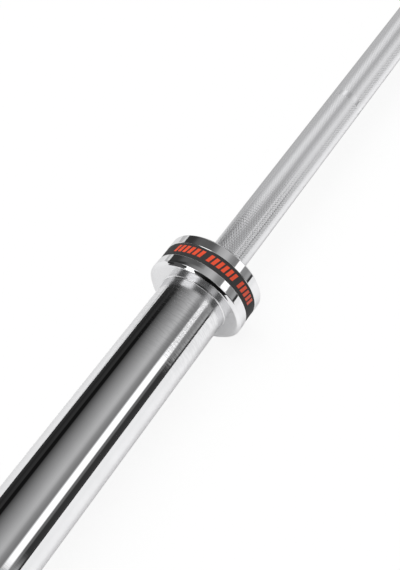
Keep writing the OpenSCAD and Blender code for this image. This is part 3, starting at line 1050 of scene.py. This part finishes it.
def add_cards(context):
    """The soft box and the cards that the chrome mirrors, among them cards on the floor that paint shade and
    light into its reflection.
    """
    root = Vector((-COLLAR_END, 0.0, 0.0))
    outwards = Vector(SOFT_BOX_DIRECTION)
    sideways = Vector((-outwards.y, outwards.x, 0.0))
    middle = root + outwards * SOFT_BOX_DISTANCE
    soft_box = [middle + sideways * aside + Vector((0.0, 0.0, height)) for aside, height in SOFT_BOX_CORNERS]
    flat_card(context, "soft_box", soft_box, SOFT_BOX_LEVEL)

    start, end = BLACK_CARD_ENDS
    outline = ((start, FLOOR_HEIGHT), (end, FLOOR_HEIGHT), (end, BLACK_CARD_TOP), (start, BLACK_CARD_TOP))
    black_card = [Vector((x, BLACK_CARD_DISTANCE, z)) for x, z in outline]
    flat_card(context, "black_card", black_card, BLACK_CARD_LEVEL)

    # Painted shade and painted light: cards on the floor that darken or lighten it in the chrome only.
    for name, (start, end, near, far, level) in FLOOR_CARDS.items():
        outline = ((start, far), (start, near), (end, near), (end, far))
        flat_card(context, name, [Vector((x, y, FLOOR_HEIGHT + CARD_LIFT)) for x, y in outline], level)

    first, last = math.radians(ARCH_LEVELS[0][0]), math.radians(ARCH_LEVELS[-1][0])
    bm = arch(ARCH_RADIUS, ARCH_PLACE, first, last, ARCH_FACETS)
    hide_from_camera(stage_piece(context, "arched_card", bm, arch_light()))


def add_lamp(scene):
    """A soft sun that gives the bar its faint shadow."""
    lamp = bpy.data.objects.new("soft_lamp", bpy.data.lights.new("soft_lamp", "SUN"))
    lamp.data.energy = LAMP_ENERGY
    lamp.data.angle = LAMP_WIDTH
    lamp.rotation_euler = Vector(LAMP_DIRECTION).to_track_quat("Z", "Y").to_euler()
    lamp.visible_glossy = False
    scene.collection.objects.link(lamp)


def add_room(scene):
    """White surroundings, dimmer as a light than as they are seen."""
    scene.world = bpy.data.worlds.new("white_room")
    scene.world.use_nodes = True
    tree = scene.world.node_tree
    background = tree.nodes["Background"]
    background.inputs["Color"].default_value = (1.0, 1.0, 1.0, 1.0)
    strength = between(tree, seen_directly(tree), 0.0, 1.0, ROOM_LEVEL, 1.0)
    tree.links.new(strength, background.inputs["Strength"])


def add_camera(scene):
    """The camera that looks at the left-hand collar."""
    camera = bpy.data.objects.new("camera", bpy.data.cameras.new("camera"))
    camera.data.lens = CAMERA_LENS
    right, up = Vector(CAMERA_RIGHT), Vector(CAMERA_UP)
    turn = Matrix((right, up, right.cross(up))).transposed()
    camera.matrix_world = Matrix.Translation(CAMERA_PLACE) @ turn.to_4x4()
    scene.collection.objects.link(camera)
    scene.camera = camera


class BARBELL_OT_stage(bpy.types.Operator):
    """Makes the floor, the light tent, the cards, the lamp, the white surroundings and the camera"""

    bl_idname = "barbell.stage"
    bl_label = "Stage"

    def execute(self, context):
        scene = context.scene
        scene.view_settings.view_transform = "Standard"
        add_floor(context)
        add_tent(context)
        add_cards(context)
        add_lamp(scene)
        add_room(scene)
        add_camera(scene)
        return {"FINISHED"}


class BARBELL_PT_panel(bpy.types.Panel):
    """Lists the barbell's operators and settings"""

    bl_idname = "BARBELL_PT_panel"
    bl_label = "Barbell"
    bl_space_type = "VIEW_3D"
    bl_region_type = "UI"
    bl_category = "Barbell"

    def draw(self, context):
        for operator in STEPS:
            self.layout.operator(operator.bl_idname)
        for group in GROUPS:
            settings = getattr(context.scene, group)
            for key in settings.bl_rna.properties.keys():
                if key not in ("rna_type", "name"):
                    self.layout.prop(settings, key)


STEPS = (
    BARBELL_OT_stage, BARBELL_OT_shaft, BARBELL_OT_sleeves, BARBELL_OT_collars, BARBELL_OT_bands,
    BARBELL_OT_end_caps, BARBELL_OT_bearings,
)
GROUPS = {
    "barbell_shaft": BarbellShaftSizes,
    "barbell_sleeve": BarbellSleeveSizes,
    "barbell_print": BarbellPrintSizes,
    "barbell_finishes": BarbellFinishes,
}
CLASSES = (*GROUPS.values(), *STEPS, BARBELL_PT_panel)


def register():
    """Registers the classes and adds their settings to the scene."""
    for one in CLASSES:
        bpy.utils.register_class(one)
    for key, group in GROUPS.items():
        setattr(bpy.types.Scene, key, bpy.props.PointerProperty(type=group))


def unregister():
    """Takes the settings and the classes away again."""
    for key in GROUPS:
        delattr(bpy.types.Scene, key)
    for one in reversed(CLASSES):
        bpy.utils.unregister_class(one)


def main():
    """Makes every piece in order."""
    register()
    bpy.ops.barbell.stage()
    bpy.ops.barbell.shaft()
    bpy.ops.barbell.sleeves()
    bpy.ops.barbell.collars()
    bpy.ops.barbell.bands()
    bpy.ops.barbell.end_caps()
    bpy.ops.barbell.bearings()
    plain = {
        name: [[float(number) for number in corner] for corner in box]
        for name, box in (("cad", cad_bounds), ("visual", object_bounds()))
    }


if __name__ == "__main__":
    main()
